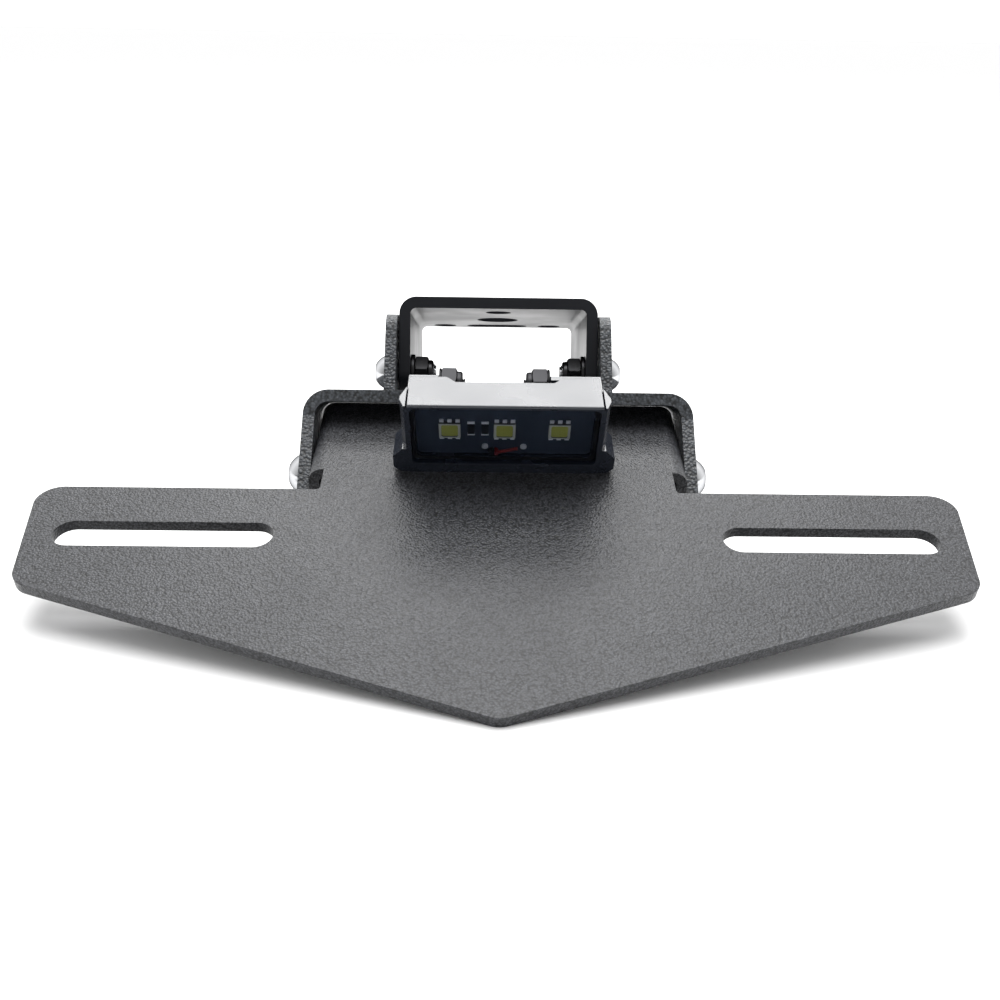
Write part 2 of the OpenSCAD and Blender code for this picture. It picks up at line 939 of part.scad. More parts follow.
// Places of the studs' hardware, each measured from its lug's inner face
module each_seat() {
    mirror([1, 0, 0])
        translate([lug_seats[0], 0, 0])
            children();
    translate([lug_seats[1], 0, 0])
        children();
}

// Smoked lens in the face and the gasket it is pressed against
module lamp_lens() {
    color([0.1, 0.1, 0.12, 0.5])
        in_face()
            face_block(lens_width / 2 - seat_gap, lens_low + seat_gap, lens_high - seat_gap,
                lens_round - seat_gap, -lens_sunk - lens_sheet, -lens_sunk);
}

module lens_gasket() {
    color([0.03, 0.03, 0.03])
        in_face()
            difference() {
                face_block(lens_width / 2 - seat_gap, lens_low + seat_gap, lens_high - seat_gap,
                    lens_round - seat_gap, -lens_depth, -lens_sunk - lens_sheet);
                face_block(lens_width / 2 - rebate, lens_low + rebate, lens_high - rebate,
                    lens_round, -lens_depth - past, past);
            }
}

// Circuit board with its diodes, solder, small parts and two wires
module circuit_board() {
    color([0.03, 0.035, 0.04])
        in_face()
            difference() {
                face_block(lens_width / 2 - rebate - seat_gap, lens_low + rebate + seat_gap,
                    lens_high - rebate - seat_gap, lens_round - seat_gap, -board_depth, board_face);
                translate([wire_hole[0], wire_hole[1], -board_depth - past])
                    cylinder(h = board_sheet + 2 * past, r = wire_hole_round);
            }
}

// Places of the light-emitting diodes along the board
module each_led() {
    for (i = [-1:1])
        translate([i * led_pitch, led_rise, board_face])
            children();
}

module led_frames() {
    color([0.62, 0.62, 0.56])
        in_face()
            each_led()
                difference() {
                    translate([-led_size / 2, -led_size / 2, 0])
                        cube([led_size, led_size, led_height]);
                    translate([led_wall - led_size / 2, led_wall - led_size / 2, led_recess + 0.3])
                        cube([led_size - 2 * led_wall, led_size - 2 * led_wall, led_height]);
                }
}

module led_phosphors() {
    color([0.62, 0.6, 0.25])
        in_face()
            each_led()
                translate([led_wall - led_size / 2, led_wall - led_size / 2, led_recess + 0.3])
                    cube([led_size - 2 * led_wall, led_size - 2 * led_wall,
                        led_height - 2 * led_recess - 0.3]);
}

module solder_marks() {
    color([0.85, 0.85, 0.85])
        in_face() {
            for (i = [-1:1], k = [-1:1], end = [-1, 1])
                solder_block([i * led_pitch + k * lead_pitch,
                    led_rise + end * (led_size + lead_size[1]) / 2], lead_size);
            for (x = [resistor_x, diode_x], end = [-1, 1])
                solder_block([x, chip_rise + end * ((chip_size[1] + pad_size[1]) / 2 + pad_gap)], pad_size);
            for (side = [-1, 1])
                translate([side * joint_spot[0], joint_spot[1], board_face])
                    cylinder(h = joint_height, r = joint_round);
        }
}

// One block of solder on the board, with its middle at a point
module solder_block(at, size) {
    translate([at[0] - size[0] / 2, at[1] - size[1] / 2, board_face])
        cube(size);
}

module resistor() {
    color([0.1, 0.1, 0.1])
        in_face()
            translate([resistor_x - chip_size[0] / 2, chip_rise - chip_size[1] / 2, board_face])
                cube(chip_size);
}

module diode() {
    color([0.13, 0.12, 0.12])
        in_face()
            translate([diode_x - chip_size[0] / 2, chip_rise - chip_size[1] / 2, board_face])
                cube(chip_size);
}

// Wire from a soldered spot on the board to the board's hole and down through it
module board_wire(side) {
    height = board_face + wire_blob;
    spot = [side * joint_spot[0], joint_spot[1]];
    end = wire_hole + [side * wire_blob * 1.2, 0];
    start = spot + unit(end - spot) * (joint_round + wire_blob + seat_gap);
    run = end - start;
    translate([start[0], start[1], height])
        rotate([0, 0, atan2(run[1], run[0])])
            rotate([0, 90, 0])
                cylinder(h = norm(run), r = wire_round);
    translate([end[0], end[1], height - wire_drop])
        cylinder(h = wire_drop + wire_blob, r = wire_blob);
}

module red_wire() {
    color([0.6, 0.08, 0.06])
        in_face()
            board_wire(1);
}

module black_wire() {
    color([0.05, 0.05, 0.05])
        in_face()
            board_wire(-1);
}

// Grommet that lines the cable hole under the light
module cable_grommet() {
    color([0.04, 0.04, 0.04])
        in_lamp()
            translate([0, way_rise, 0])
                difference() {
                    union() {
                        translate([0, 0, -plate_sheet - grommet_lip])
                            cylinder(h = plate_sheet + 2 * grommet_lip, r = grommet_round - thread_gap);
                        cylinder(h = grommet_lip, r = grommet_round + grommet_rim);
                        translate([0, 0, -plate_sheet - grommet_lip])
                            cylinder(h = grommet_lip, r = grommet_round + grommet_rim);
                    }
                    translate([0, 0, -plate_sheet - grommet_lip - past])
                        cylinder(h = plate_sheet + 2 * grommet_lip + 2 * past, r = grommet_bore);
                }
}

plate_bracket();
link_bracket();
mount_bracket();
lower_pivot_bolts();
lower_washers();
lower_lock_nuts();
lower_nut_rings();
upper_pivot_bolts();
upper_washers();
upper_lock_nuts();
upper_nut_rings();
lamp_housing();
lamp_cap_left();
lamp_cap_right();
lamp_cap_screws();
lamp_foot_screws();
lamp_studs();
lamp_stud_washers();
lamp_stud_nuts();
lamp_lens();
lens_gasket();
circuit_board();
led_frames();
led_phosphors();
solder_marks();
resistor();
diode();
red_wire();
black_wire();
cable_grommet();
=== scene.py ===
"""Looks of the tail tidy: finishes, detailed hardware, the light's electronics, studio and camera.

Every CAD part keeps its place. Small parts whose exact solids are plain (screws, washers, lock nuts,
studs, diodes) are shown by finer meshes that stand for them.
"""

from __future__ import annotations

import json
import logging
import math
from dataclasses import dataclass, field
from enum import Enum
from typing import Iterable, Optional, Sequence

import bpy  # noqa: E402
from mathutils import Matrix, Vector  # noqa: E402


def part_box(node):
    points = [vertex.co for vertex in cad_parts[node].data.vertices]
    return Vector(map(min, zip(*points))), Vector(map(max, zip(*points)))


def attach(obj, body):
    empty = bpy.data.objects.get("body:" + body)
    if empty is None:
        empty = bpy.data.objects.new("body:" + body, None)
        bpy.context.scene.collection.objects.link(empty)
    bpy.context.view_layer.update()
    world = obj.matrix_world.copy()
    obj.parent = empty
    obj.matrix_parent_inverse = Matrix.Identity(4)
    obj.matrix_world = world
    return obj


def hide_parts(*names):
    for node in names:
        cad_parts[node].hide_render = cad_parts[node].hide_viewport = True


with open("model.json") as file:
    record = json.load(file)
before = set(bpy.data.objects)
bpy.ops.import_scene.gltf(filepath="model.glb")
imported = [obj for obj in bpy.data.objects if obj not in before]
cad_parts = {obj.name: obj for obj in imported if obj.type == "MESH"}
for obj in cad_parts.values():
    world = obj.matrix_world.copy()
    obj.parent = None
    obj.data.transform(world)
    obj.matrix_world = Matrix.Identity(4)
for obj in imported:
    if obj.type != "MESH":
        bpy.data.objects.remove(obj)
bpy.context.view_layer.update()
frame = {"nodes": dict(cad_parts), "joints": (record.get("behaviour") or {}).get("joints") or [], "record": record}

LOG = logging.getLogger("tail_tidy")
MM = 0.001
FULL_TURN = 2 * math.pi
SMOOTH_ANGLE = math.radians(32)


class Side(Enum):
    """Side of the middle on which a mirrored piece sits."""

    LEFT = -1
    RIGHT = 1


class Body(Enum):
    """CAD bodies that the pieces ride on."""

    MOUNT = "mount"
    LINK = "link"
    PLATE = "plate"


# ---------------------------------------------------------------- colour and node helpers


def linear(code: str) -> tuple[float, float, float, float]:
    """Turns an sRGB hex colour into Blender's linear values.

    Args:
        code: Colour such as "#1f2022".

    Returns:
        Red, green, blue and an alpha of one.
    """
    parts = [int(code.lstrip("#")[i : i + 2], 16) / 255 for i in (0, 2, 4)]
    r, g, b = (p / 12.92 if p <= 0.04045 else ((p + 0.055) / 1.055) ** 2.4 for p in parts)
    return (r, g, b, 1.0)


def add_node(tree: bpy.types.NodeTree, kind: str, **values: object) -> bpy.types.Node:
    """Adds a node and sets its properties and input sockets.

    Args:
        tree: Node tree that gets the node.
        kind: Node type, such as "ShaderNodeTexNoise".
        **values: Property names, or input names with spaces written as underscores. A value
            that is an output socket is linked.

    Returns:
        The new node.
    """
    node = tree.nodes.new(kind)
    for key, value in values.items():
        if hasattr(node, key) and key not in {"inputs", "outputs"}:
            setattr(node, key, value)
            continue
        socket = node.inputs[key.replace("_", " ")]
        if isinstance(value, bpy.types.NodeSocket):
            tree.links.new(value, socket)
        else:
            socket.default_value = value
    return node


def ramp(tree: bpy.types.NodeTree, factor: bpy.types.NodeSocket, low: float, high: float,
         start: float = 0.35, end: float = 0.65) -> bpy.types.NodeSocket:
    """Maps a texture's middle range to two values.

    Args:
        tree: Node tree.
        factor: Texture output.
        low: Value at and below start.
        high: Value at and above end.
        start: Lower texture value.
        end: Upper texture value.

    Returns:
        The mapped output socket.
    """
    node = add_node(tree, "ShaderNodeMapRange", Value=factor, From_Min=start, From_Max=end,
                    To_Min=low, To_Max=high)
    return node.outputs["Result"]


def times(tree: bpy.types.NodeTree, colour: bpy.types.NodeSocket,
          bright: bpy.types.NodeSocket) -> bpy.types.NodeSocket:
    """Multiplies a colour by a brightness.

    Args:
        tree: Node tree.
        colour: Colour output.
        bright: Brightness output.

    Returns:
        The scaled colour output.
    """
    scaled = add_node(tree, "ShaderNodeVectorMath", operation="SCALE")
    tree.links.new(colour, scaled.inputs[0])
    tree.links.new(bright, scaled.inputs["Scale"])
    return scaled.outputs["Vector"]


# ---------------------------------------------------------------- finishes


@dataclass(frozen=True)
class Finish:
    """A real surface finish that becomes one procedural material.

    Attributes:
        name: Name of the real material and finish.
        colour: sRGB hex colour.
        mottle: sRGB hex colour that the large-scale variation drifts to.
        roughness: Lowest and highest roughness.
        metallic: Metal share.
        specular: Specular level.
        grain_mm: Size of the finest texture in millimetres.
        relief: Strength of the bump.
        relief_mm: Height of the bump in millimetres.
        coat: Clear coat weight.
        rim: Share of the reflection that is left where a metal is seen edge-on.
        edge_mm: Radius of the rounded look at edges.
    """

    name: str
    colour: str
    mottle: str
    roughness: tuple[float, float]
    metallic: float = 0.0
    specular: float = 0.5
    grain_mm: float = 0.5
    relief: float = 0.1
    relief_mm: float = 0.02
    coat: float = 0.0
    rim: float = 1.0
    edge_mm: float = 0.15

    def build(self) -> bpy.types.Material:
        """Builds the node material.

        Returns:
            The material.
        """
        material = bpy.data.materials.new(self.name)
        material.use_nodes = True
        tree = material.node_tree
        tree.nodes.clear()
        place = add_node(tree, "ShaderNodeTexCoord").outputs["Object"]
        drift = add_node(tree, "ShaderNodeTexNoise", Vector=place, Scale=1 / (18 * MM), Detail=3.0)
        colour = add_node(tree, "ShaderNodeMix", data_type="RGBA")
        tree.links.new(drift.outputs["Fac"], colour.inputs[0])
        colour.inputs[6].default_value = linear(self.colour)
        colour.inputs[7].default_value = linear(self.mottle)
        height = self.height(tree, place)
        worn = ramp(tree, drift.outputs["Fac"], *self.roughness)
        shader = add_node(tree, "ShaderNodeBsdfPrincipled", Metallic=self.metallic, Roughness=worn)
        tree.links.new(self.tint(tree, colour.outputs[2], height), shader.inputs["Base Color"])
        shader.inputs["Specular IOR Level"].default_value = self.specular
        shader.inputs["Specular Tint"].default_value = (self.rim, self.rim, self.rim, 1.0)
        shader.inputs["Coat Weight"].default_value = self.coat
        shader.inputs["Coat Roughness"].default_value = 0.06
        edge = add_node(tree, "ShaderNodeBevel", samples=6, Radius=self.edge_mm * MM)
        bump = add_node(tree, "ShaderNodeBump", Strength=self.relief, Distance=self.relief_mm * MM,
                        Height=height, Normal=edge.outputs["Normal"])
        tree.links.new(bump.outputs["Normal"], shader.inputs["Normal"])
        self.finish_shader(tree, shader)
        return material

    def height(self, tree: bpy.types.NodeTree, place: bpy.types.NodeSocket) -> bpy.types.NodeSocket:
        """Height of the fine texture: an even grain.

        Args:
            tree: Node tree.
            place: Object coordinates.

        Returns:
            Height output.
        """
        noise = add_node(tree, "ShaderNodeTexNoise", Vector=place, Scale=1 / (self.grain_mm * MM),
                         Detail=2.0, Roughness=0.6)
        return noise.outputs["Fac"]

    def tint(self, tree: bpy.types.NodeTree, colour: bpy.types.NodeSocket,
             height: bpy.types.NodeSocket) -> bpy.types.NodeSocket:
        """Base colour, unchanged by the height unless a finish says so.

        Args:
            tree: Node tree.
            colour: Mixed colour.
            height: Height output.

        Returns:
            Colour output.
        """
        return colour

    def finish_shader(self, tree: bpy.types.NodeTree, shader: bpy.types.Node) -> None:
        """Links the shader to the output.

        Args:
            tree: Node tree.
            shader: Principled shader.
        """
        add_node(tree, "ShaderNodeOutputMaterial", Surface=shader.outputs["BSDF"])


@dataclass(frozen=True)
class TexturedCoat(Finish):
    """Powder coat that cures with a fine pebbled surface.

    Attributes:
        painted_pebble_shading: Share by which the pebble tops get a painted highlight and the pits painted shade.
    """

    painted_pebble_shading: float = 0.5

    def height(self, tree: bpy.types.NodeTree, place: bpy.types.NodeSocket) -> bpy.types.NodeSocket:
        """Pebbles from cells, broken up by noise."""
        cells = add_node(tree, "ShaderNodeTexVoronoi", Vector=place, feature="SMOOTH_F1",
                         Scale=1 / (self.grain_mm * MM), Smoothness=0.6)
        noise = add_node(tree, "ShaderNodeTexNoise", Vector=place,
                         Scale=1 / (self.grain_mm * 1.9 * MM), Detail=3.0, Roughness=0.7)
        mixed = add_node(tree, "ShaderNodeMath", operation="SUBTRACT")
        tree.links.new(noise.outputs["Fac"], mixed.inputs[0])
        tree.links.new(cells.outputs["Distance"], mixed.inputs[1])
        return mixed.outputs["Value"]

    def tint(self, tree: bpy.types.NodeTree, colour: bpy.types.NodeSocket,
             height: bpy.types.NodeSocket) -> bpy.types.NodeSocket:
        """Paints a highlight on the pebble tops and shade in the pits."""
        # Painted highlight and painted shade: the colour is scaled up on the pebble tops and down in the pits.
        bright = ramp(tree, height, 1 - self.painted_pebble_shading, 1 + self.painted_pebble_shading, -0.25, 0.35)
        return times(tree, colour, bright)


@dataclass(frozen=True)
class ClearPlastic(Finish):
    """Tinted clear plastic that lets light through without bending it much.

    Attributes:
        clear: Share of the light that passes through.
    """

    clear: float = 0.8

    def finish_shader(self, tree: bpy.types.NodeTree, shader: bpy.types.Node) -> None:
        """Mixes the glossy surface with a tinted see-through one."""
        through = add_node(tree, "ShaderNodeBsdfTransparent", Color=linear("#eef0f4"))
        mixed = add_node(tree, "ShaderNodeMixShader", Fac=self.clear)
        tree.links.new(shader.outputs["BSDF"], mixed.inputs[1])
        tree.links.new(through.outputs["BSDF"], mixed.inputs[2])
        add_node(tree, "ShaderNodeOutputMaterial", Surface=mixed.outputs["Shader"])


@dataclass(frozen=True)
class PaintedShadePlastic(Finish):
    """Pale moulded plastic with painted shade on the walls that look up, standing for the housing's shadow.

    Attributes:
        shade: Brightness of the painted shade on the walls that look up.
    """

    shade: float = 0.08

    def tint(self, tree: bpy.types.NodeTree, colour: bpy.types.NodeSocket,
             height: bpy.types.NodeSocket) -> bpy.types.NodeSocket:
        """Paints shade on the walls that look up."""
        look = add_node(tree, "ShaderNodeTexCoord")
        split = add_node(tree, "ShaderNodeSeparateXYZ", Vector=look.outputs["Normal"])
        # Painted shade: the colour is darkened where the object-space normal looks up.
        bright = ramp(tree, split.outputs["Z"], 1.0, self.shade, -0.4, 0.3)
        return times(tree, colour, bright)


# Black powder coat with a fine pebble, on the plate bracket; its colour carries painted highlights on the pebble
# tops and painted shade in the pits
PLATE_COAT = TexturedCoat("powder_coat_fine_texture", "#343538", "#2f3033", (0.32, 0.38),
                          specular=0.32, grain_mm=0.5, relief=1.0, relief_mm=0.12, painted_pebble_shading=0.7)
# The same coat, coarser and darker, on the link bracket, with the same painted highlights and painted shade on its
# pebble
LINK_COAT = TexturedCoat("powder_coat_coarse_texture", "#3a3d41", "#323539", (0.34, 0.44),
                         specular=0.5, grain_mm=0.7, relief=1.0, relief_mm=0.25, painted_pebble_shading=0.8)
# Smooth glossy black enamel on the mounting channel
GLOSS_COAT = Finish("gloss_black_enamel", "#0e1015", "#12141a", (0.34, 0.44), specular=0.3,
                    grain_mm=1.2, relief=0.15, relief_mm=0.04, edge_mm=0.35)
# Black anodised aluminium of the light's body
ANODISED = Finish("black_anodised_aluminium", "#1b1f27", "#20242d", (0.24, 0.34), specular=0.6,
                  grain_mm=0.45, relief=0.35, relief_mm=0.03, coat=0.25, edge_mm=0.1)
# Bright nickel-chrome plate on the pivot bolts
CHROME = Finish("bright_chrome_plate", "#c9cacc", "#bdbec0", (0.08, 0.16), metallic=1.0,
                grain_mm=0.3, relief=0.04, relief_mm=0.01, rim=0.15, edge_mm=0.1)
# Dull zinc plate on nuts and washers
ZINC = Finish("dull_zinc_plate", "#3c3c3d", "#303032", (0.25, 0.42), metallic=1.0,
              grain_mm=0.25, relief=0.2, relief_mm=0.03, rim=0.15, edge_mm=0.1)
# Black oxide on the light's small screws
BLACK_STEEL = Finish("black_oxide_steel", "#1b1b1d", "#222224", (0.3, 0.42), metallic=0.6,
                     grain_mm=0.3, relief=0.08, edge_mm=0.08)
# Undyed nylon rings of the lock nuts
NYLON = Finish("natural_nylon", "#b9bfc6", "#aeb4bb", (0.4, 0.5), grain_mm=0.4, relief=0.05)
# Soft rubber of the grommet, gasket and cable skin
RUBBER = Finish("black_rubber", "#151515", "#1b1b1b", (0.6, 0.75), specular=0.3, grain_mm=0.4,
                relief=0.2)
# Smoked polycarbonate of the lens
LENS = ClearPlastic("smoked_polycarbonate", "#141b26", "#161e2a", (0.05, 0.09), specular=1.0,
                    grain_mm=4.0, relief=0.03, edge_mm=0.1, clear=0.9)
# Black solder mask of the circuit board
BOARD = Finish("black_solder_mask", "#2f353f", "#343b45", (0.3, 0.42), grain_mm=0.3, relief=0.1,
               edge_mm=0.05)
# Off-white moulded frames of the diodes, with painted shade on the walls that look up
LED_FRAME = PaintedShadePlastic("off_white_led_frame_painted_shade", "#c2c2b4", "#b8b8aa", (0.35, 0.5), grain_mm=0.3,
                           relief=0.05, edge_mm=0.05)
# Yellow phosphor resin inside the diodes
PHOSPHOR = Finish("yellow_phosphor_resin", "#a8a850", "#9c9d4a", (0.25, 0.4), grain_mm=0.25,
                  relief=0.1, edge_mm=0.05)
# Tinned solder
SOLDER = Finish("tinned_solder", "#f6f6f6", "#ececec", (0.3, 0.45), metallic=0.5, grain_mm=0.15,
                relief=0.2, edge_mm=0.05)
# Dark ceramic and moulded chips
CHIP = Finish("dark_chip_body", "#141415", "#1d1d1e", (0.4, 0.55), grain_mm=0.2, relief=0.1,
              edge_mm=0.05)
# Red wire insulation
RED_WIRE = Finish("red_pvc_insulation", "#7c1512", "#6c100e", (0.35, 0.5), grain_mm=0.3,
                  relief=0.05)
# Pale paper sweep under and behind the part
PAPER = Finish("white_paper_sweep", "#f4f4f4", "#f3f3f3", (0.8, 0.9), specular=0.1,
               grain_mm=2.0, relief=0.02, edge_mm=0.01)


class Palette:
    """Materials made once and kept by finish."""

    def __init__(self) -> None:
        """Starts with no materials."""
        self._made: dict[str, bpy.types.Material] = {}

    def of(self, finish: Finish) -> bpy.types.Material:
        """Material of a finish.

        Args:
            finish: The finish.

        Returns:
            Its material, built on first use.
        """
        if finish.name not in self._made:
            self._made[finish.name] = finish.build()
        return self._made[finish.name]


# ---------------------------------------------------------------- mesh helpers


@dataclass(frozen=True)
class Ring:
    """One ring of a turned shape.

    Attributes:
        at: Distance along the axis in millimetres.
        radius: Largest radius in millimetres.
        flats: Half the width across flats where the ring is a hexagon, or None.
    """

    at: float
    radius: float
    flats: Optional[float] = None

    def reach(self, angle: float) -> float:
        """Radius at an angle.

        Args:
            angle: Angle about the axis.

        Returns:
            Radius in millimetres.
        """
        if self.flats is None:
            return self.radius
        sector = math.pi / 3
        off = (angle + sector / 2) % sector - sector / 2
        return min(self.radius, self.flats / math.cos(off))


@dataclass
class Shape:
    """Vertices and faces in millimetres, joined into one mesh later."""

    points: list[Vector] = field(default_factory=list)
    faces: list[tuple[int, ...]] = field(default_factory=list)

    def add(self, points: Iterable[Vector], faces: Iterable[Sequence[int]]) -> None:
        """Adds points and the faces between them.

        Args:
            points: New vertices.
            faces: Faces that count from the first new vertex.
        """
        first = len(self.points)
        self.points.extend(points)
        self.faces.extend(tuple(first + i for i in face) for face in faces)

    def join(self, other: "Shape", place: Matrix) -> None:
        """Adds another shape, moved by a matrix.

        Args:
            other: Shape to add.
            place: Its place; a mirroring matrix also turns its faces round.
        """
        flip = place.determinant() < 0
        faces = [face[::-1] if flip else face for face in other.faces]
        self.add([place @ point for point in other.points], faces)

    def grid(self, rows: Sequence[Sequence[Vector]], capped: bool = True) -> None:
        """Adds closed rings joined by quads.

        Args:
            rows: Rings of points, all of one length.
            capped: Whether the first and last ring are closed by faces.
        """
        count = len(rows[0])
        faces: list[tuple[int, ...]] = []
        for i in range(len(rows) - 1):
            for j in range(count):
                k = (j + 1) % count
                low, high = i * count, (i + 1) * count
                faces.append((low + j, low + k, high + k, high + j))
        if capped:
            faces.append(tuple(range(count))[::-1])
            faces.append(tuple((len(rows) - 1) * count + j for j in range(count)))
        self.add([point for row in rows for point in row], faces)

    def turned(self, rings: Sequence[Ring], capped: bool = True, steps: int = 72) -> None:
        """Adds a shape turned about +X.

        Args:
            rings: Rings from one end to the other.
            capped: Whether the ends are closed.
            steps: Points round each ring.
        """
        angles = [FULL_TURN * j / steps for j in range(steps)]
        self.grid([[Vector((ring.at, ring.reach(a) * math.cos(a), ring.reach(a) * math.sin(a)))
                    for a in angles] for ring in rings], capped)

    def to_object(self, name: str, material: bpy.types.Material) -> bpy.types.Object:
        """Makes a smooth-shaded object at the origin.

        Args:
            name: Object name.
            material: Its material.

        Returns:
            The object.
        """
        mesh = bpy.data.meshes.new(name)
        mesh.from_pydata([tuple(point * MM) for point in self.points], [], self.faces)
        mesh.validate()
        mesh.materials.append(material)
        mesh.shade_smooth()
        mesh.set_sharp_from_angle(angle=SMOOTH_ANGLE)
        made = bpy.data.objects.new(name, mesh)
        bpy.context.scene.collection.objects.link(made)
        return made


def loop_xy(half_x: float, half_y: float, at: float, radius: float, steps: int = 6) -> list[Vector]:
    """Ring of points round a rectangle with rounded corners.

    Args:
        half_x: Half width.
        half_y: Half height.
        at: Height of the ring.
        radius: Corner radius.
        steps: Steps in each corner.

    Returns:
        The points.
    """
    points = []
    for quarter, (sx, sy) in enumerate(((1, 1), (-1, 1), (-1, -1), (1, -1))):
        middle = (sx * (half_x - radius), sy * (half_y - radius))
        for i in range(steps + 1):
            angle = math.pi / 2 * (quarter + i / steps)
            points.append(Vector((middle[0] + radius * math.cos(angle),
                                  middle[1] + radius * math.sin(angle), at)))
    return points


def slab(half_x: float, half_y: float, low: float, high: float, radius: float,
         edge: float) -> Shape:
    """Plate with rounded corners and small rounded top edges, lying in XY.

    Args:
        half_x: Half width.
        half_y: Half height.
        low: Lower face.
        high: Upper face.
        radius: Corner radius.
        edge: Radius of the rounded upper edge.

    Returns:
        The shape.
    """
    rows = [loop_xy(half_x, half_y, low, radius)]
    for i in range(5):
        angle = math.pi / 2 * i / 4
        inset = edge * (1 - math.cos(angle))
        rows.append(loop_xy(half_x - inset, half_y - inset, high - edge + edge * math.sin(angle),
                            max(radius - inset, 0.01)))
    shape = Shape()
    shape.grid(rows)
    return shape


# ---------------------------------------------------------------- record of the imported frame


def joint_place(name: str) -> Vector:
    """Place of a joint in millimetres.

    Args:
        name: Joint name.

    Returns:
        The place.
    """
    found = next(joint for joint in frame["joints"] if joint["name"] == name)
    return Vector(found["pos_m"]) / MM


def mount_lean(name: str) -> float:
    """Angle by which a mount's normal leans about X.

    Args:
        name: Mount name.

    Returns:
        Angle in radians, positive when the far side is higher.
    """
    found = next(mount for mount in frame["record"]["mounts"] if mount["name"] == name)
    _, along, up = found["axis"]
    return math.atan2(-along, up)


def box_mm(node: str) -> tuple[Vector, Vector]:
    """Box of a CAD node in millimetres.

    Args:
        node: Node name.

    Returns:
        Lowest and highest corner.
    """
    low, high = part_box(node)
    return low / MM, high / MM


@dataclass
class Builder:
    """What every sub-assembly needs: the materials and a way to log its pieces.

    Attributes:
        palette: Materials.
    """

    palette: Palette

    def show(self, shape: Shape, name: str, finish: Finish, body: Body,
             nodes: Sequence[str]) -> bpy.types.Object:
        """Makes a piece that stands for CAD nodes.

        Args:
            shape: Its shape in millimetres.
            name: Its name.
            finish: Its finish.
            body: Body that it rides on.
            nodes: CAD nodes that it stands for.

        Returns:
            The object.
        """
        made = shape.to_object(name, self.palette.of(finish))
        return self.settle(made, body, nodes)

    def settle(self, made: bpy.types.Object, body: Body, nodes: Sequence[str]) -> bpy.types.Object:
        """Ties a finished object to its body and hides the CAD nodes that it stands for.

        Args:
            made: The object.
            body: Body that it rides on.
            nodes: CAD nodes that it stands for.

        Returns:
            The object.
        """
        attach(made, body.value)
        if nodes:
            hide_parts(*nodes)
        LOG.info("%s: %d vertices", made.name, len(made.data.vertices))
        return made

    def coat(self, node: str, finish: Finish) -> None:
        """Gives a CAD node its finish.

        Args:
            node: Node name.
            finish: Its finish.
        """
        mesh = frame["nodes"][node].data
        mesh.materials.clear()
        mesh.materials.append(self.palette.of(finish))
        LOG.info("%s: CAD node in %s", node, finish.name)


# ---------------------------------------------------------------- hardware


@dataclass(frozen=True)
class Thread:
    """Size of a metric thread.

    Attributes:
        diameter: Outside diameter.
        pitch: Pitch.
    """

    diameter: float
    pitch: float

    def rod(self, start: float, end: float) -> Shape:
        """Threaded rod along +X with chamfered ends.

        Args:
            start: First end.
            end: Last end.

        Returns:
            The shape.
        """
        steps, per_pitch = 32, 6
        depth = 0.6 * self.pitch
        count = max(int((end - start) / self.pitch * per_pitch), 4)
        rows = []
        for i in range(count + 1):
            at = start + (end - start) * i / count
            from_end = min(at - start, end - at)
            limit = self.diameter / 2 - max(depth - from_end, 0)
            row = []
            for j in range(steps):
                angle = FULL_TURN * j / steps
                wave = 0.5 - 0.5 * math.cos(FULL_TURN * at / self.pitch - angle)
                reach = min(self.diameter / 2 - depth * wave, limit)
                row.append(Vector((at, reach * math.cos(angle), reach * math.sin(angle))))
            rows.append(row)
        shape = Shape()
        shape.grid(rows)
        return shape


@dataclass(frozen=True)
class ButtonScrew:
    """Button head socket screw whose head's seat is at X = 0 and whose end points to -X.

    Attributes:
        thread: Its thread.
        head: Head diameter.
        crown: Head height.
        socket: Width across the socket's flats.
        length: Length below the head.
        plain: Length of the smooth shank below the head.
    """

    thread: Thread
    head: float
    crown: float
    socket: float
    length: float
    plain: float = 2.0

    def shape(self) -> Shape:
        """Builds the screw.

        Returns:
            The shape.
        """
        flat = self.head / 4
        dome = 10
        centre = (flat**2 + self.crown**2 - self.head**2 / 4) / (2 * self.crown)
        radius = math.hypot(self.head / 2, centre)
        first = math.asin((0.35 - centre) / radius)
        last = math.asin((self.crown - centre) / radius)
        rings = [Ring(0, self.thread.diameter / 2), Ring(0, self.head / 2 - 0.15)]
        for i in range(dome + 1):
            angle = first + (last - first) * i / dome
            rings.append(Ring(centre + radius * math.sin(angle), radius * math.cos(angle)))
        half = self.socket / 2
        mouth = half / math.cos(math.pi / 6)
        depth = self.crown * 0.6
        rings += [
            Ring(self.crown, flat - 0.25),
            Ring(self.crown, mouth + 0.12),
            Ring(self.crown - 0.2, mouth, half),
            Ring(self.crown - depth, mouth, half),
            Ring(self.crown - depth - 0.3, half * 0.5),
        ]
        made = Shape()
        made.turned(rings)
        shank = Shape()
        shank.turned([Ring(-self.plain, self.thread.diameter / 2 - 0.05),
                      Ring(0.2, self.thread.diameter / 2 - 0.05)], steps=32)
        made.join(shank, Matrix.Identity(4))
        made.join(self.thread.rod(-self.length, -self.plain + 0.4), Matrix.Identity(4))
        return made


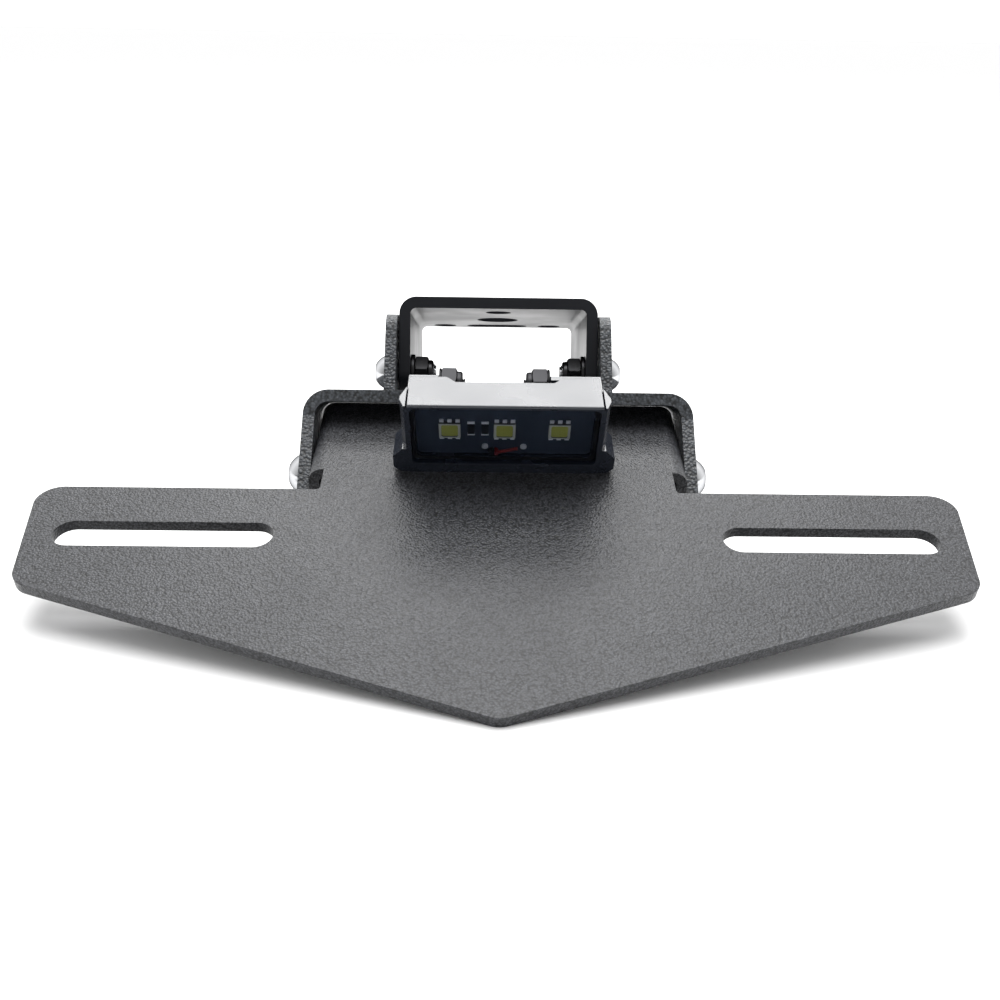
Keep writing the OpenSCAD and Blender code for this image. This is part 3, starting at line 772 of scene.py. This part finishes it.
@dataclass(frozen=True)
class LockNut:
    """Lock nut whose seat is at X = 0 and whose collar points to -X.

    Attributes:
        thread: Its thread.
        flats: Width across flats.
        height: Whole height.
    """

    thread: Thread
    flats: float
    height: float

    def shape(self) -> Shape:
        """Hexagon with chamfered corners and a rolled collar.

        Returns:
            The shape.
        """
        half = self.flats / 2
        corner = half / math.cos(math.pi / 6)
        bore = self.thread.diameter / 2
        collar = self.height * 0.26
        brim = -(self.height - collar)
        drop = (corner - half) * 0.55
        shape = Shape()
        rings = [Ring(-0.3, bore), Ring(0, bore + 0.3), Ring(0, half * 0.96)]
        rings += [Ring(-drop * i / 4, half * 0.96 + (corner - half * 0.96) * i / 4, half)
                  for i in range(1, 5)]
        rings += [Ring(brim + drop * (4 - i) / 4, corner - (corner - half * 0.94) * i / 4, half)
                  for i in range(0, 5)]
        rings.append(Ring(brim - 0.1, half * 0.88))
        for i in range(7):
            angle = math.pi / 2 * i / 6
            rings.append(Ring(brim - collar * (0.4 + 0.6 * math.sin(angle)),
                              half * (0.74 + 0.14 * math.cos(angle))))
        rings.append(Ring(-self.height + 0.25, half * 0.7))
        shape.turned(rings, capped=False)
        return shape

    def nylon(self) -> Shape:
        """Plastic ring inside the collar.

        Returns:
            The shape.
        """
        half = self.flats / 2
        bore = self.thread.diameter / 2 - 0.05
        shape = Shape()
        shape.turned([
            Ring(-self.height * 0.78, half * 0.72),
            Ring(-self.height + 0.3, half * 0.72),
            Ring(-self.height + 0.2, half * 0.68),
            Ring(-self.height + 0.2, bore + 0.1),
            Ring(-self.height + 0.35, bore),
            Ring(-self.height * 0.78, bore),
        ], capped=False)
        return shape


@dataclass(frozen=True)
class Washer:
    """Flat washer whose seat is at X = 0 and whose far face points to -X.

    Attributes:
        outer: Outside radius.
        inner: Hole radius.
        sheet: Thickness.
    """

    outer: float
    inner: float
    sheet: float

    def shape(self) -> Shape:
        """Ring with rounded edges.

        Returns:
            The shape.
        """
        edge = min(0.2, self.sheet / 3)
        shape = Shape()
        rings = [Ring(0, self.inner), Ring(0, self.outer - edge), Ring(-edge, self.outer),
                 Ring(-self.sheet + edge, self.outer), Ring(-self.sheet, self.outer - edge),
                 Ring(-self.sheet, self.inner), Ring(0, self.inner)]
        shape.turned(rings, capped=False)
        return shape


def mirrored_pair(shape: Shape, seat: float, at: Vector, middle: float = 0.0) -> Shape:
    """Shape and its mirror image, with their seats at two X values.

    Args:
        shape: Shape along X for the right side.
        seat: Distance of the seat from the middle.
        at: Place of the axis; its X is not used.
        middle: X of the middle.

    Returns:
        Both shapes in one.
    """
    pair = Shape()
    for side in Side:
        turn = Matrix.Diagonal((side.value, 1, 1, 1))
        pair.join(shape, Matrix.Translation((middle, at.y, at.z)) @ turn
                  @ Matrix.Translation((seat, 0, 0)))
    return pair


def distances(node: str, middle: Vector, wider: float = 0.0) -> list[float]:
    """Distances from a middle along X of a CAD node's points.

    Args:
        node: CAD node.
        middle: Point on the axis.
        wider: Radius from the axis below which points are left out.

    Returns:
        Distances in millimetres.
    """
    places = (v.co / MM - middle for v in frame["nodes"][node].data.vertices)
    return [abs(p.x) for p in places if math.hypot(p.y, p.z) >= wider]


@dataclass
class Pivot:
    """One clamped pivot: a screw, washer and lock nut on each side.

    Attributes:
        prefix: First word of the CAD nodes.
        joint: The record's joint.
        thread: Thread of the screws.
        socket: Width across the sockets' flats.
        flats: Width across the nuts' flats.
    """

    prefix: str
    joint: str
    thread: Thread
    socket: float
    flats: float

    def build(self, builder: Builder) -> None:
        """Builds the pivot's pieces from the boxes of its CAD nodes.

        Args:
            builder: Materials and settling.
        """
        at = joint_place(self.joint)
        bolts, washers, nuts, rings = (f"{self.prefix}_{part}" for part in
                                       ("pivot_bolts", "washers", "lock_nuts", "nut_rings"))
        low, high = box_mm(bolts)
        seat = min(distances(bolts, at, self.thread.diameter * 0.8))
        screw = ButtonScrew(self.thread, high.z - low.z, high.x - seat, self.socket,
                            seat - min(distances(bolts, at)))
        washer_high, nut_high = box_mm(washers)[1], box_mm(nuts)[1]
        washer = Washer(washer_high.z - at.z, self.thread.diameter / 2 + 0.25,
                        washer_high.x - nut_high.x)
        nut = LockNut(self.thread, self.flats, nut_high.x - min(distances(nuts, at)))
        pieces = ((screw.shape(), seat, "screws", CHROME, bolts, "chrome_plate"),
                  (washer.shape(), washer_high.x, "flat_washers", ZINC, washers, "zinc_steel"),
                  (nut.shape(), nut_high.x, "nuts", ZINC, nuts, "zinc_steel"),
                  (nut.nylon(), nut_high.x, "nylon", NYLON, rings, "nylon"))
        for shape, seat_at, word, finish, node, slot in pieces:
            builder.show(mirrored_pair(shape, seat_at, at), f"{self.prefix}_{word}", finish,
                         Body.LINK, [node])


# ---------------------------------------------------------------- repeated small parts


class ArrayTool:
    """Geometry Nodes group that repeats an object in a row."""

    def __init__(self) -> None:
        """Builds the node group once."""
        group = bpy.data.node_groups.new("row_of_parts", "GeometryNodeTree")
        face = group.interface
        face.new_socket("Geometry", in_out="INPUT", socket_type="NodeSocketGeometry")
        face.new_socket("Count", in_out="INPUT", socket_type="NodeSocketInt")
        face.new_socket("Pitch", in_out="INPUT", socket_type="NodeSocketFloat")
        face.new_socket("Material", in_out="INPUT", socket_type="NodeSocketMaterial")
        face.new_socket("Geometry", in_out="OUTPUT", socket_type="NodeSocketGeometry")
        start = add_node(group, "NodeGroupInput")
        less = add_node(group, "ShaderNodeMath", operation="SUBTRACT")
        group.links.new(start.outputs["Count"], less.inputs[0])
        less.inputs[1].default_value = 1.0
        half = add_node(group, "ShaderNodeMath", operation="MULTIPLY")
        group.links.new(less.outputs[0], half.inputs[0])
        group.links.new(start.outputs["Pitch"], half.inputs[1])
        back = add_node(group, "ShaderNodeMath", operation="MULTIPLY")
        group.links.new(half.outputs[0], back.inputs[0])
        back.inputs[1].default_value = -0.5
        first = add_node(group, "ShaderNodeCombineXYZ")
        group.links.new(back.outputs[0], first.inputs["X"])
        step = add_node(group, "ShaderNodeCombineXYZ")
        group.links.new(start.outputs["Pitch"], step.inputs["X"])
        line = add_node(group, "GeometryNodeMeshLine", mode="OFFSET")
        group.links.new(start.outputs["Count"], line.inputs["Count"])
        group.links.new(first.outputs[0], line.inputs["Start Location"])
        group.links.new(step.outputs[0], line.inputs["Offset"])
        copies = add_node(group, "GeometryNodeInstanceOnPoints")
        group.links.new(line.outputs["Mesh"], copies.inputs["Points"])
        group.links.new(start.outputs["Geometry"], copies.inputs["Instance"])
        real = add_node(group, "GeometryNodeRealizeInstances")
        group.links.new(copies.outputs["Instances"], real.inputs["Geometry"])
        painted = add_node(group, "GeometryNodeSetMaterial")
        group.links.new(real.outputs["Geometry"], painted.inputs["Geometry"])
        group.links.new(start.outputs["Material"], painted.inputs["Material"])
        end = add_node(group, "NodeGroupOutput")
        group.links.new(painted.outputs["Geometry"], end.inputs["Geometry"])
        self.group = group

    def repeat(self, shape: Shape, name: str, material: bpy.types.Material, count: int,
               pitch: float) -> bpy.types.Object:
        """Repeats a shape along X and turns the result into a plain mesh.

        Args:
            shape: Shape in millimetres.
            name: Name of the result.
            material: Its material.
            count: Number of copies.
            pitch: Distance between copies in millimetres.

        Returns:
            The object, at the origin.
        """
        single = shape.to_object(name + "_one", material)
        tool = single.modifiers.new("row", "NODES")
        tool.node_group = self.group
        for item in self.group.interface.items_tree:
            if item.item_type == "SOCKET" and item.in_out == "INPUT":
                value = {"Count": count, "Pitch": pitch * MM, "Material": material}.get(item.name)
                if value is not None:
                    tool[item.identifier] = value
        bpy.context.view_layer.update()
        graph = bpy.context.evaluated_depsgraph_get()
        mesh = bpy.data.meshes.new_from_object(single.evaluated_get(graph))
        single.modifiers.clear()
        bpy.data.objects.remove(single)
        mesh.name = name
        made = bpy.data.objects.new(name, mesh)
        bpy.context.scene.collection.objects.link(made)
        return made


# ---------------------------------------------------------------- the light


@dataclass
class PlateLight:
    """The light on the neck: housing, lens, board and its small parts.

    Attributes:
        lean: Angle of the face over its foot, in degrees.
        stud_thread: Thread of the studs behind the light.
        stud_flats: Width across the flats of the studs' nuts.
        bolt_gap: Gap between a stud and its washer.
        coats: Finish of each CAD node that is shown as packed.
    """

    lean: float = 15.0
    stud_thread: Thread = Thread(3.0, 0.5)
    stud_flats: float = 7.0
    bolt_gap: float = 0.25
    coats: dict[str, Finish] = field(default_factory=lambda: {
        "lamp_housing": ANODISED, "lamp_cap_left": ANODISED, "lamp_cap_right": ANODISED,
        "lamp_cap_screws": BLACK_STEEL, "lamp_foot_screws": ZINC, "lens_gasket": RUBBER,
        "cable_grommet": RUBBER, "circuit_board": BOARD, "solder_marks": SOLDER,
        "resistor": CHIP, "diode": CHIP, "red_wire": RED_WIRE, "black_wire": RUBBER,
        "lamp_lens": LENS,
    })

    def place(self) -> Matrix:
        """Place of the board's middle, with +Y up the face and +Z out of it.

        Returns:
            Matrix in millimetres.
        """
        low, high = box_mm("circuit_board")
        turn = math.radians(90 + self.lean) + mount_lean("number_plate_face")
        return Matrix.Translation((low + high) / 2) @ Matrix.Rotation(turn, 4, "X")

    def build(self, builder: Builder, rows: ArrayTool) -> None:
        """Builds the light.

        Args:
            builder: Materials and settling.
            rows: Tool that repeats small parts.
        """
        for node, finish in self.coats.items():
            builder.coat(node, finish)
        self.diodes(builder, rows)
        self.studs(builder)

    def face_box(self, node: str) -> tuple[Vector, Vector]:
        """Box of a CAD node along the light's face, from the board's middle.

        Args:
            node: CAD node.

        Returns:
            Lowest and highest corner in millimetres.
        """
        back = self.place().inverted()
        points = [back @ (v.co / MM) for v in frame["nodes"][node].data.vertices]
        low, high = (Vector([pick(p[i] for p in points) for i in range(3)]) for pick in (min, max))
        return low, high

    def repeat(self, builder: Builder, rows: ArrayTool, shape: Shape, name: str, finish: Finish,
               pitch: float, node: str, slot: str) -> None:
        """Repeats a shape three times across the face and ties it to its CAD node.

        Args:
            builder: Materials and settling.
            rows: Tool that repeats small parts.
            shape: Shape in face coordinates.
            name: Name of the piece.
            finish: Its finish.
            pitch: Distance between copies.
            node: CAD node that it stands for.
            slot: The record's material slot; not used.
        """
        made = rows.repeat(shape, name, builder.palette.of(finish), 3, pitch)
        place = self.place()
        made.data.transform(Matrix.Translation(place.to_translation() * MM)
                            @ place.to_3x3().to_4x4())
        builder.settle(made, Body.PLATE, [node])

    def diodes(self, builder: Builder, rows: ArrayTool) -> None:
        """Diode frames with a moulded recess, and the resin in them.

        Args:
            builder: Materials and settling.
            rows: Tool that repeats small parts.
        """
        low, high = self.face_box("led_frames")
        half, wall = (high.y - low.y) / 2, 0.5
        pitch = (high.x - low.x - 2 * half) / 2
        move = Matrix.Translation((0, (low.y + high.y) / 2, 0))
        ring = Shape()
        ring.grid([loop_xy(size, size, at, corner) for size, at, corner in (
            (half, low.z, 0.25), (half, high.z - 0.12, 0.25), (half - 0.12, high.z, 0.25),
            (half - wall, high.z, 0.6), (half - wall - 0.12, high.z - 0.22, 0.6))])
        frames, resin = Shape(), Shape()
        frames.join(ring, move)
        side = half - wall - 0.1
        resin.join(slab(side, side, high.z - 0.5, high.z - 0.14, 0.6, 0.05), move)
        self.repeat(builder, rows, frames, "led_bodies", LED_FRAME, pitch, "led_frames",
                    "white_led_frame")
        self.repeat(builder, rows, resin, "led_resin", PHOSPHOR, pitch, "led_phosphors",
                    "yellow_phosphor")

    def studs(self, builder: Builder) -> None:
        """Studs, washers and lock nuts across the rear lugs.

        Args:
            builder: Materials and settling.
        """
        low, high = box_mm("lamp_studs")
        at = (low + high) / 2
        seats = {node: box_mm(node)[1].x - at.x for node in
                 ("lamp_studs", "lamp_stud_washers", "lamp_stud_nuts")}
        rod = self.stud_thread.rod(min(distances("lamp_studs", at)) - seats["lamp_studs"], 0)
        washer = Washer(box_mm("lamp_stud_washers")[1].z - at.z,
                        self.stud_thread.diameter / 2 + self.bolt_gap,
                        seats["lamp_stud_washers"] - seats["lamp_stud_nuts"])
        nut = LockNut(self.stud_thread, self.stud_flats,
                      seats["lamp_stud_nuts"] - min(distances("lamp_stud_nuts", at)))
        for shape, word, node in ((rod, "studs", "lamp_studs"),
                                  (washer.shape(), "washers", "lamp_stud_washers"),
                                  (nut.shape(), "nuts", "lamp_stud_nuts")):
            builder.show(mirrored_pair(shape, seats[node], at, at.x), f"light_{word}", ZINC,
                         Body.PLATE, [node])


@dataclass
class Brackets:
    """The three folded sheets, which keep their CAD meshes.

    Attributes:
        finishes: Finish of each node.
    """

    finishes: dict[str, Finish] = field(default_factory=lambda: {
        "plate_bracket": PLATE_COAT,
        "link_bracket": LINK_COAT,
        "mount_bracket": GLOSS_COAT,
    })

    def build(self, builder: Builder) -> None:
        """Gives each sheet its coat.

        Args:
            builder: Materials and settling.
        """
        for node, finish in self.finishes.items():
            builder.coat(node, finish)


# ---------------------------------------------------------------- studio


@dataclass(frozen=True)
class SoftBox:
    """One area light.

    Attributes:
        name: Its name.
        place: Where it stands, in metres.
        target: What it points at, in metres.
        size: Side lengths in metres.
        power: Power in watts.
    """

    name: str
    place: tuple[float, float, float]
    target: tuple[float, float, float]
    size: tuple[float, float]
    power: float

    def build(self) -> None:
        """Adds the light."""
        data = bpy.data.lights.new(self.name, "AREA")
        data.shape = "RECTANGLE"
        data.size, data.size_y = self.size
        data.energy = self.power
        made = bpy.data.objects.new(self.name, data)
        bpy.context.scene.collection.objects.link(made)
        made.location = self.place
        aim = Vector(self.target) - Vector(self.place)
        made.rotation_mode = "QUATERNION"
        made.rotation_quaternion = aim.to_track_quat("-Z", "Y")


@dataclass
class Studio:
    """White sweep, soft boxes, world and the camera at the photo's angle.

    Attributes:
        camera_at: Camera place in millimetres.
        forward: Viewing direction.
        right: Direction of the picture's right side.
        focal: Focal length over picture width.
        floor_half: Half size of the floor in metres.
        sky: Brightness of the world behind the camera and behind the part.
    """

    camera_at: tuple[float, float, float] = (-3.0, -249.2, 117.4)
    forward: tuple[float, float, float] = (0.0135, 0.9152, -0.4027)
    right: tuple[float, float, float] = (0.9998, -0.0079, 0.0154)
    focal: float = 1.07
    floor_half: float = 30.0
    sky: tuple[float, float] = (0.48, 1.5)
    boxes: tuple[SoftBox, ...] = (
        SoftBox("top_box", (0.0, 0.05, 1.2), (0.0, 0.0, 0.0), (1.2, 0.9), 14.0),
        SoftBox("back_box", (0.0, 0.8, 1.0), (0.0, 0.0, 0.02), (0.9, 0.36), 8.0),
    )

    def build(self, builder: Builder) -> None:
        """Builds the studio.

        Args:
            builder: Materials.
        """
        self.floor(builder)
        for box in self.boxes:
            box.build()
        self.world()
        self.camera()
        bpy.context.scene.view_settings.view_transform = "Standard"
        bpy.context.scene.view_settings.look = "None"

    def floor(self, builder: Builder) -> None:
        """Adds the paper that the part stands on."""
        half = self.floor_half / MM
        sheet = Shape()
        sheet.add([Vector((-half, -half, 0)), Vector((half, -half, 0)), Vector((half, half, 0)),
                   Vector((-half, half, 0))], [(0, 1, 2, 3)])
        sheet.to_object("paper_floor", builder.palette.of(PAPER))

    def world(self) -> None:
        """Sets a surround that is seen as white and lights the part less from the front."""
        world = bpy.data.worlds.new("white_room")
        world.use_nodes = True
        tree = world.node_tree
        tree.nodes.clear()
        look = add_node(tree, "ShaderNodeTexCoord")
        split = add_node(tree, "ShaderNodeSeparateXYZ", Vector=look.outputs["Generated"])
        bright = ramp(tree, split.outputs["Y"], *self.sky, -0.6, 0.3)
        path = add_node(tree, "ShaderNodeLightPath")
        seen = add_node(tree, "ShaderNodeMix", data_type="FLOAT")
        tree.links.new(path.outputs["Is Camera Ray"], seen.inputs[0])
        tree.links.new(bright, seen.inputs[2])
        seen.inputs[3].default_value = self.sky[1]
        glow = add_node(tree, "ShaderNodeBackground", Color=linear("#ffffff"),
                        Strength=seen.outputs[0])
        add_node(tree, "ShaderNodeOutputWorld", Surface=glow.outputs["Background"])
        bpy.context.scene.world = world

    def camera(self) -> None:
        """Adds the camera."""
        data = bpy.data.cameras.new("camera")
        data.sensor_width = 36.0
        data.lens = 36.0 * self.focal
        data.clip_start, data.clip_end = 0.01, 100.0
        made = bpy.data.objects.new("camera", data)
        bpy.context.scene.collection.objects.link(made)
        ahead = Vector(self.forward).normalized()
        right = Vector(self.right)
        right = (right - ahead * right.dot(ahead)).normalized()
        up = right.cross(ahead)
        turn = Matrix((right, up, -ahead)).transposed().to_4x4()
        made.matrix_world = Matrix.Translation(Vector(self.camera_at) * MM) @ turn
        bpy.context.scene.camera = made


def main() -> None:
    """Builds every sub-assembly, then the studio."""
    logging.basicConfig(level=logging.INFO, format="%(message)s")
    builder = Builder(Palette())
    Brackets().build(builder)
    Pivot("lower", "lower_pivot", Thread(6.0, 1.0), 4.0, 10.0).build(builder)
    Pivot("upper", "upper_pivot", Thread(5.0, 0.8), 3.0, 8.0).build(builder)
    PlateLight().build(builder, ArrayTool())
    Studio().build(builder)


if __name__ == "__main__":
    main()
